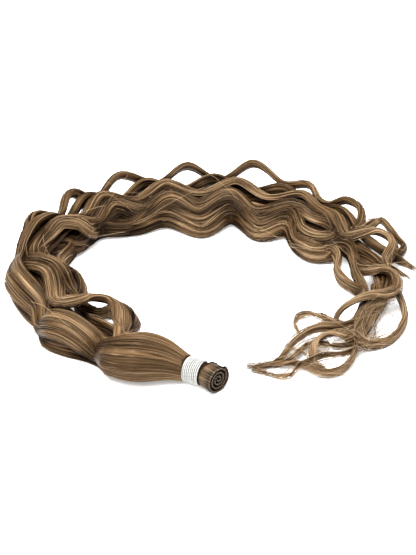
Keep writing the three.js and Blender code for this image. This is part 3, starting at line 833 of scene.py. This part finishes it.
def bulge_skin(random, material):
    """The skin of the neck and the bulge, with painted shadow under the tie and painted shade at its far
    end.
    """
    last = len(BULGE_MIDDLES) - 1
    tied = TIE_STATION * STATION_STEPS
    known = [tied - 1, tied, last - BULGE_END_STATIONS * STATION_STEPS, last]
    shade = np.interp(np.arange(last + 1), known, [COLLAR_SHADE, 0, 0, BULGE_END_SHADE])[:, None]
    sweep = {
        "lengths": run_along(BULGE_MIDDLES),
        "middle": BULGE_MIDDLES,
        "across": -BULGE_OUTS,
        "facing": np.broadcast_to(UPRIGHT, BULGE_OUTS.shape),
        "half_wide": BULGE_RADII,
        "half_thick": BULGE_RADII,
    }
    return fluted_piece("skin_bulge", random, material, sweep, BULGE_COMB, lambda rings: (rings, shade))


def tucked_in(points):
    """Points of a lock, with those that barely rise from the bulge drawn below its skin."""
    away = points[..., None, :] - BULGE_MIDDLES
    reach = np.linalg.norm(away, axis=-1)
    nearest = np.argmin(reach, axis=-1)
    reach = np.take_along_axis(reach, nearest[..., None], -1)
    spoke = np.take_along_axis(away, nearest[..., None, None], -2)[..., 0, :] / reach
    level = reach[..., 0] - BULGE_RADII[nearest]
    drawn = np.interp(level, TUCK_LEVELS, TUCKED_LEVELS) - level
    beside = (level < TUCK_LEVELS[-1]) & (level > TUCK_LEVELS[0])
    beside = beside & (nearest < len(BULGE_MIDDLES) - TUCK_END_STEPS)
    return points + spoke * (drawn * beside)[..., None]


def lock_skin(name, lines, random, material):
    """The skin of a lock, tucked into the bulge, with painted shade where other locks lie close."""
    line = lines[name]
    places = line.evenly(SKIN_STEP)
    tone = turn_tone_and_shade(line.at(places, "turn"))[:, None]
    sweep = {key: line.at(places, key) for key in SWEEP}

    def finish(rings):
        columns = rings.shape[1]
        few = np.arange(0, columns, CROWD_COLUMNS)
        crowd = crowding(rings[:, few], name, lines)
        crowd = np.stack([np.interp(np.arange(columns), few, row, period=columns) for row in crowd])
        # Painted shade where other locks lie close, added to the tone for the turn.
        return tucked_in(rings), tone - CROWD_SHADE * crowd

    return fluted_piece("skin_" + name, random, material, sweep, LOCK_COMB, finish)


def strands_on_lock(line, places, angles, random):
    """Paths of strands over a lock, and the way that its flat side faces there."""
    count = len(angles)
    lengths = line.at(places, "lengths")
    grown = np.linspace(0, 1, len(places))
    slips = random.normal(0, STRAND_SLIP, (count, 1)) * (ROOT_SLIP + grown)
    moved = np.clip(places + slips, 0, line.last)
    loose = np.interp(line.at(places, "turn"), LOOSE_TURNS, (0, 1))
    lift = random.uniform(*STRAND_LEVELS, (count, 1))
    lift = lift + wander(random, count, lengths, *LIFT_WANDER) * (1 + LOOSE_LIFT * loose)
    stray = wander(random, count, lengths, *STRAY_WANDER)
    stray = stray * (ROOT_STRAY + grown + LOOSE_STRAY * loose)
    cosine = np.cos(angles)[:, None]
    sine = np.sin(angles)[:, None]
    wide = line.at(moved, "half_wide") * cosine + (lift + stray) * np.abs(cosine) * cosine - stray * sine
    thick = line.at(moved, "half_thick") * sine + lift * sine
    facing = line.at(moved, "facing")
    paths = line.at(moved, "middle") + line.at(moved, "across") * wide[..., None]
    return paths + facing * thick[..., None], facing


def frayed(paths, facing, end_way, random):
    """Strands with their ragged tips added."""
    count = len(paths)
    reach = FRAY_REACH * random.uniform(*FRAY_SHARES, (count, 1, 1))
    reach = reach * np.linspace(0, 1, FRAY_STEPS + 1)[1:, None]
    spread = FRAY_SPREAD * random.normal(0, 1, (count, 1, 3))
    spread = spread * np.linspace(FRAY_FIRST, 1, FRAY_STEPS)[:, None]
    tips = paths[:, -1:] + (end_way + spread) * reach
    tip_facing = np.repeat(facing[:, -1:], FRAY_STEPS, 1)
    return np.concatenate([paths, tips], 1), np.concatenate([facing, tip_facing], 1)


def rooted(lock, angles, paths, facing, random):
    """Strands with their roots added, from the tie over the bulge to where they meet the lock."""
    first, last = np.radians(lock["fan"])
    around = ((first + last) / 2 - (last - first) / 2 * np.cos(angles))[:, None]
    level = random.uniform(*ROOT_LEVELS, len(angles))[:, None]
    covered = sum(row[0] < lock["bends"][0][0] - ROOT_CLEAR_TURN for row in BULGE)
    middles, outs, radii = (values[:len(values) - len(BULGE) + covered] for values in STATIONS)
    spokes = np.cos(around)[..., None] * outs + np.sin(around)[..., None] * UPRIGHT
    controls = middles + spokes * (radii + level)[..., None]
    controls = np.concatenate([controls, paths[:, :1]], 1)
    spokes = np.concatenate([spokes, facing[:, :1]], 1)
    roots = smooth_path(controls, ROOT_STEPS)[:, :-1]
    steps = np.arange(roots.shape[1]) / ROOT_STEPS
    known = np.arange(spokes.shape[1])
    root_facing = np.stack([columns_at(steps, known, spoke) for spoke in spokes])
    return np.concatenate([roots, paths], 1), np.concatenate([root_facing, facing], 1)


def strand_shades(name, lines, places, paths):
    """What to add to the tones of strands: the tone for their turn, and painted shade where other locks lie
    close.
    """
    few = np.arange(0, len(places) + CROWD_STEPS - 1, CROWD_STEPS)
    crowd = crowding(paths[:, few.clip(max=len(places) - 1)], name, lines)
    crowd = np.stack([np.interp(np.arange(len(places)), few, row) for row in crowd])
    return turn_tone_and_shade(lines[name].at(places, "turn")) - CROWD_SHADE * crowd


def loose_strands(name, lines, random, material):
    """Single strands on a lock, from the tie over the bulge to the lock's ragged tip."""
    lock = LOCKS[name]
    line = lines[name]
    half_wide = lock["width"] / 2
    half_thick = lock["thick"] / 2
    count = int(oval_run(half_wide, half_thick)[1][-1] / STRAND_SPACING)
    angles = even_angles(half_wide, half_thick, STRAND_ANGLES)
    angles = random.choice(angles[np.sin(angles) > LOWEST_SINE], count)
    places = line.evenly(SKIN_STEP, line.first_bend)
    paths, facing = strands_on_lock(line, places, angles, random)
    shade = strand_shades(name, lines, places, paths)
    paths, facing = frayed(paths, facing, line.tangent[-1], random)
    if "root" in lock:
        paths, facing = rooted(lock, angles, paths, facing, random)
    steps = paths.shape[1]
    end = np.interp(np.linspace(0, 1, steps), (TAPER_FROM, 1), (0, 1))
    thinned = random.uniform(*THINNED, (count, 1)) * (1 - TAPER * end)
    paths[..., 2] = np.maximum(paths[..., 2], STRAND["radius"] * thinned)
    tones = random.uniform(-TONE_SPREAD, TONE_SPREAD, (count, 1))
    tones = tones + wander(random, count, np.arange(steps), *TONE_WANDER)
    before = steps - FRAY_STEPS - len(places)
    shade = np.pad(shade, ((0, 0), (before, FRAY_STEPS)), "edge")
    if "root" in lock:
        tones = tones * np.interp(np.arange(steps), [before, before + CALM_STEPS], [ROOT_CONTRAST, 1.0])
        # The painted shade fades out along the roots towards the tie.
        shade[:, :before] *= np.linspace(0, 1, before) ** ROOT_SHADE_POWER
        # Painted shadow: the roots under the tie's edge are dark.
        shade[:, :TIE_STATION * ROOT_STEPS] = COLLAR_SHADE
    tones = STRAND_TONE + tones + shade
    return tube_piece("strands_" + name, material, STRAND, paths, facing, tones, thinned)


def flyaway_hairs(lines, random, material):
    """Thin single hairs that leave the locks and lie across them."""
    names = [name for name in lines if name not in HIDDEN_LOCKS]
    edge = np.array(cad_box[1])[:2] / MM + FLYAWAY_MARGIN
    share = np.linspace(0, 1, FLYAWAY_STEPS)[:, None]
    paths = []
    while len(paths) < FLYAWAYS:
        line = lines[names[int(random.integers(len(names)))]]
        place = random.uniform(line.first_bend + FLYAWAY_AFTER, line.last - FLYAWAY_BEFORE)
        facing = line.at(place, "facing")
        start = line.at(place, "middle") + facing * FLYAWAY_LIFT
        along = line.at(place, "tangent") * random.choice([-1, 1]) + FLYAWAY_STRAY * random.normal(0, 1, 3)
        along = unit(along + facing * FLYAWAY_RISE)
        bend = FLYAWAY_CURL * random.normal(0, 1, 3) - FLYAWAY_SAG * UPRIGHT
        reach = random.uniform(*FLYAWAY_REACHES)
        path = start + along * reach * share + bend * FLYAWAY_BEND * share ** 2
        if np.all(np.abs((path + SHIFT)[:, :2]) < edge):
            paths.append(path)
    paths = np.stack(paths)
    paths[..., 2] = np.clip(paths[..., 2], *FLYAWAY_HEIGHTS)
    tones = random.uniform(*FLYAWAY_TONES, FLYAWAYS)
    return tube_piece("flyaways", material, FLYAWAY, paths, NEARLY_UPRIGHT, tones)


def wisp_hairs(random, material):
    """Loose hairs at the tail, each along its wisp with a drift of its own."""
    paths = []
    for hairs, spread, bends in WISPS.values():
        middle = smooth_path(ring_point(*np.array(bends, float).T), DENSE)
        run = run_along(middle)
        lengths = np.linspace(0, run[-1], WISP_STEPS)
        middle = columns_at(lengths, run, middle)
        for _ in range(hairs):
            drift = wander(random, 3, lengths, *WISP_WANDER).T + WISP_SCATTER * random.normal(0, 1, 3)
            paths.append(middle + spread * drift)
    paths = np.stack(paths)
    paths[..., 2] = np.maximum(paths[..., 2], WISP["radius"])
    tones = random.uniform(*WISP_TONES, len(paths))
    return tube_piece("wisps", material, WISP, paths, NEARLY_UPRIGHT, tones)


def two_plies(name, material, origin, azimuth, lengths, angle, radius, along, thread):
    """Two plies that are laid round each other and wound about the axis of the tie or of the roll."""
    spin = 2 * np.pi * lengths / thread["pitch"]
    paths = []
    for start in (0, np.pi):
        reach = radius + thread["out"] * np.cos(spin + start)
        shifted = along + thread["along"] * np.sin(spin + start)
        paths.append(wound(origin, azimuth, angle, reach, shifted))
    return tube_piece(name, material, thread, np.stack(paths), heading(azimuth), thread["tones"])


def thread_wraps(random, material):
    """The tie: one two-ply thread wound side by side, over an inner layer."""
    turned = np.linspace(0, THREAD_WRAPS, WRAP_STEPS * THREAD_WRAPS + 1)
    lengths = turned * WRAP_LENGTH
    radius = NECK_RADIUS + GAP + THREAD_DIAMETER / 2
    radius = radius + wander(random, 1, lengths, *WRAP_OUT_WANDER)[0]
    share = np.interp(turned, (WRAP_START, THREAD_WRAPS - WRAP_START), (0, 1))
    along = (share - 0.5) * (THREAD_WRAPS - 1) * THREAD_DIAMETER
    along = along + wander(random, 1, lengths, *WRAP_ALONG_WANDER)[0]
    angle = 2 * np.pi * turned
    return two_plies("tie_thread", material, TIE, TIE_AZIMUTH, lengths, angle, radius, along, TIE_THREAD)


def under_wrap(material):
    """The wraps below, a closed sleeve in painted shade that shows between the outer wraps."""
    half = THREAD_WRAPS * THREAD_DIAMETER / 2 - SLEEVE_INSET
    angle = 2 * np.pi * np.arange(SLEEVE_SIDES) / SLEEVE_SIDES
    outline = [
        (SLEEVE_RADIUS - SLEEVE_DROP, -half),
        (SLEEVE_RADIUS, -half + SLEEVE_EDGE),
        (SLEEVE_RADIUS, half - SLEEVE_EDGE),
        (SLEEVE_RADIUS - SLEEVE_DROP, half),
    ]
    rings = np.stack([wound(TIE, TIE_AZIMUTH, angle, reach, along) for reach, along in outline])[None]
    # Painted shade: the sleeve takes the thread's darkest tone, as the shade between the outer wraps.
    tones = np.zeros(SLEEVE_SIDES)
    fibres = np.arange(SLEEVE_SIDES) / FIBRE_COLUMNS
    return mesh_object("tie_under", *tubes(rings, tones, fibres), material)


def spiral(turned):
    """Angle and radius of the band's outer face at a number of turns from its outer end."""
    flap = FLAP_REACH * (1 - smooth_share(np.clip(turned / FLAP_TURN, 0, 1)))
    radius = ROLL_RADIUS + (ROLL_CORE - ROLL_RADIUS) * turned / ROLL_TURNS + flap
    return np.radians(ROLL_START - 360 * turned), radius


def band_lengths(turned):
    """Distance along the band from its outer end."""
    radius = spiral(turned)[1] - BAND_THICKNESS / 2
    return np.concatenate([[0], np.cumsum((radius[1:] + radius[:-1]) / 2 * np.diff(turned) * 2 * math.pi)])


def settling(turned):
    """How far the band's outer end is let down towards the turn below it, from 1 at its end to 0."""
    return 1 - smooth_share(np.clip(turned / BAND_END_TURN, 0, 1))


def seam_drop(turned):
    """How far the seam is let down with the band's outer end."""
    return SEAM_SETTLING * TURN_STEP * settling(turned)


def rolled_band(random, material):
    """The sewn band: hair sewn side by side in small clumps, rolled up with its seam outwards."""
    turned = np.linspace(0, ROLL_TURNS, BAND_STEPS)
    angle, radius = spiral(turned)
    lengths = band_lengths(turned)
    ridge = RIDGE_HEIGHT * np.sin(2 * np.pi * lengths / RIDGE_PITCH)
    ridge = ridge + wander(random, 1, lengths, *RIDGE_WANDER)[0]
    valley = 1 - np.abs(np.sin(np.pi * lengths / STITCH_PITCH)) ** CLUMP_ROUNDING
    tone = BAND_TONE + wander(random, 1, lengths, *BAND_TONE_WANDER)[0]
    covered = smooth_share(np.interp(turned, COVERED_TURNS, (0, 1)))
    outer = []
    inner = []
    outer_tones = []
    inner_tones = []
    for back, cut, puff, groove in BAND_SECTIONS:
        behind = smooth_share(np.interp(back, SETTLED_BACKS, (0, 1)))
        lowered = settling(turned) * (SEAM_SETTLING + (1 - SEAM_SETTLING) * behind)
        depth = cut * valley
        outside = radius + ridge * OUTER_RIDGE + puff - depth - lowered * TURN_STEP
        inside = radius - BAND_THICKNESS - ridge * INNER_RIDGE - puff * INNER_PUFF
        inside = inside + depth * INNER_CUT - lowered * (TURN_STEP - BAND_THICKNESS / 2)
        along = -back * ROLL_LENGTH
        outer.append(wound(ROLL, ROLL_AZIMUTH, angle, outside, along))
        inner.append(wound(ROLL, ROLL_AZIMUTH, angle, inside, along))
        # Painted shade on turns that lie under another and on the band's inner face, none at the seam edge.
        painted_under_shade = COVERED_SHADE * min(1, back / SHOWN_BACK)
        # Painted shade in the grooves between the clumps.
        outer_tones.append(tone - GROOVE_SHADE * groove * valley - painted_under_shade * covered)
        inner_tones.append(tone - painted_under_shade)
    rings = np.stack(outer + inner[::-1], 1)
    tones = np.stack(outer_tones + inner_tones[::-1], 1)[None]
    fibres = np.broadcast_to((lengths * BAND_FIBRES)[None, :, None], tones.shape)
    return mesh_object("band_strip", *tubes(rings[None], tones, fibres), material)


def seam_threads(material):
    """Two threads that are laid round each other along the band's seam edge."""
    turned = np.linspace(SEAM_INSET, ROLL_TURNS - SEAM_INSET, SEAM_STEPS)
    angle, radius = spiral(turned)
    lengths = band_lengths(turned)
    radius = radius - BAND_THICKNESS / 2 - seam_drop(turned)
    return two_plies(
        "seam_thread", material, ROLL, ROLL_AZIMUTH, lengths, angle, radius, SEAM_ALONG, SEAM_THREAD
    )


def edge_stitches(random, material):
    """Short stitches over the seam edge, one in each valley between the clumps."""
    fine = np.linspace(0, ROLL_TURNS, STITCH_SAMPLES)
    lengths = band_lengths(fine)
    places = np.arange(STITCH_PITCH, lengths[-1] - STITCH_END, STITCH_PITCH)
    turned = np.interp(places, lengths, fine)
    angle, radius = spiral(turned)
    count = len(turned)
    out, along = smooth_path(np.array(STITCH_OUTLINE), STITCH_STEPS).T
    reach = (radius - seam_drop(turned))[:, None] + out
    lean = STITCH_LEAN * random.normal(0, 1, count)[:, None] * np.linspace(1, 0, len(out))
    leaning = angle[:, None] + lean / np.maximum(radius[:, None], STITCH_LEAN_RADIUS)
    paths = wound(ROLL, ROLL_AZIMUTH, leaning, reach, along)
    sideways = wound((0, 0, 0), ROLL_AZIMUTH, angle + np.pi / 2, 1.0, 0.0)[:, None]
    tones = random.uniform(*STITCH_TONES, count)
    return tube_piece("seam_stitches", material, STITCH, paths, sideways, tones)


def set_inputs(tree, node, inputs):
    """Inputs of a node, set to values or linked to the outputs of other nodes."""
    for key, value in inputs.items():
        if isinstance(value, bpy.types.NodeSocket):
            tree.links.new(value, node.inputs[key])
        else:
            node.inputs[key].default_value = value


def add_node(tree, kind, inputs, **settings):
    """A new shader node with its settings and inputs."""
    node = tree.nodes.new("ShaderNode" + kind)
    for key, value in settings.items():
        setattr(node, key, value)
    set_inputs(tree, node, inputs)
    return node


def fibre_material(name):
    """Fibres: a tone for each strand, streaks and a fine relief that run along it."""
    look = LOOKS[name]
    material = bpy.data.materials.new(name)
    material.use_nodes = True
    tree = material.node_tree
    tone = add_node(tree, "Attribute", {}, attribute_name="tone").outputs["Fac"]
    fibre = add_node(tree, "Attribute", {}, attribute_name="fibre").outputs["Vector"]
    scaled = add_node(tree, "VectorMath", {0: fibre, 1: look["stretch"]}, operation="MULTIPLY").outputs[0]
    noise = add_node(tree, "TexNoise", {"Vector": scaled, **STREAKS}).outputs["Fac"]
    streak = add_node(tree, "Math", {0: noise, 1: 0.5}, operation="SUBTRACT").outputs[0]
    mixed = add_node(tree, "Math", {0: streak, 1: STREAK_STRENGTH, 2: tone}, operation="MULTIPLY_ADD")
    ramp = add_node(tree, "ValToRGB", {"Fac": mixed.outputs[0]})
    stops = ramp.color_ramp.elements
    stops.new(RAMP_PLACES[1])
    for stop, place, colour in zip(stops, RAMP_PLACES, look["ramp"]):
        stop.position = place
        stop.color = (*colour, 1)
    depth = {"Strength": look["relief"], "Distance": RELIEF_DEPTH * MM}
    relief = add_node(tree, "Bump", {"Height": noise, **depth})
    set_inputs(tree, tree.nodes["Principled BSDF"], {
        "Base Color": ramp.outputs["Color"],
        "Normal": relief.outputs["Normal"],
        "Roughness": look["roughness"],
        "Specular IOR Level": GLOSS,
        "Specular Tint": (*look["tint"], 1),
    })
    return material


def studio_floor():
    """A plain pale floor that glows a little."""
    look = bpy.data.materials.new("floor")
    look.use_nodes = True
    set_inputs(look.node_tree, look.node_tree.nodes["Principled BSDF"], FLOOR_LOOK)
    corners = [(x * FLOOR_HALF, y * FLOOR_HALF, 0) for x, y in ((-1, -1), (1, -1), (1, 1), (-1, 1))]
    mesh = bpy.data.meshes.new("floor")
    mesh.from_pydata(corners, [], [(0, 1, 2, 3)])
    mesh.materials.append(look)
    floor = bpy.data.objects.new("floor", mesh)
    bpy.context.scene.collection.objects.link(floor)
    return floor


def studio_sky():
    """Plain light from all sides."""
    world = bpy.data.worlds.new("studio")
    bpy.context.scene.world = world
    world.use_nodes = True
    set_inputs(world.node_tree, world.node_tree.nodes["Background"], SKY_LOOK)


def soft_light(name, place, size, power):
    """A round soft light that shines at the origin."""
    data = bpy.data.lights.new(name, "AREA")
    data.shape = "DISK"
    data.size = size
    data.energy = power
    light = bpy.data.objects.new(name, data)
    light.location = place
    x, y, z = place
    light.rotation_euler = (math.atan2(math.hypot(x, y), z), 0, math.atan2(y, x) + math.pi / 2)
    bpy.context.scene.collection.objects.link(light)


def photo_camera():
    """The camera at the photograph's viewing angle."""
    data = bpy.data.cameras.new("camera")
    data.sensor_width = SENSOR_WIDTH
    data.lens = VIEW_FOCAL_PIXELS / VIEW_PIXELS * SENSOR_WIDTH
    data.shift_y = VIEW_CENTRE_OFFSET / VIEW_PIXELS
    camera = bpy.data.objects.new("camera", data)
    elevation = math.radians(VIEW_ELEVATION)
    camera.location = (
        SHIFT[0] * MM,
        SHIFT[1] * MM - VIEW_DISTANCE * math.cos(elevation),
        VIEW_DISTANCE * math.sin(elevation),
    )
    camera.rotation_euler = (math.pi / 2 - elevation, 0, 0)
    bpy.context.scene.collection.objects.link(camera)
    bpy.context.scene.camera = camera


hair_look, band_look, stitch_look, thread_look = (fibre_material(name) for name in LOOKS)

# The pieces of the hair, the band and the tie.
random = np.random.default_rng(SEED)
lines = {lock_name: LockLine(lock) for lock_name, lock in LOCKS.items()}
hair_pieces = [bulge_skin(random, hair_look)]
for lock_name in LOCKS:
    hair_pieces.append(lock_skin(lock_name, lines, random, hair_look))
    if lock_name not in HIDDEN_LOCKS:
        hair_pieces.append(loose_strands(lock_name, lines, random, hair_look))
hair_pieces.append(flyaway_hairs(lines, random, hair_look))
hair_pieces.append(wisp_hairs(random, hair_look))
band_pieces = [
    rolled_band(random, band_look),
    seam_threads(stitch_look),
    edge_stitches(random, stitch_look),
]
tie_pieces = [thread_wraps(random, thread_look), under_wrap(thread_look)]
for pieces, node, slot in (
    (hair_pieces, "hair", "hair"),
    (band_pieces, "weft_band", "weft_band"),
    (tie_pieces, "thread_tie", "thread"),
):
    for piece in pieces:
        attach(piece, "root")
        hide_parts(node)

# Floor, light and camera.
floor = studio_floor()
studio_sky()
for light_name, light in LIGHTS.items():
    soft_light(light_name, **light)
photo_camera()
bpy.context.scene.view_settings.view_transform = "Standard"
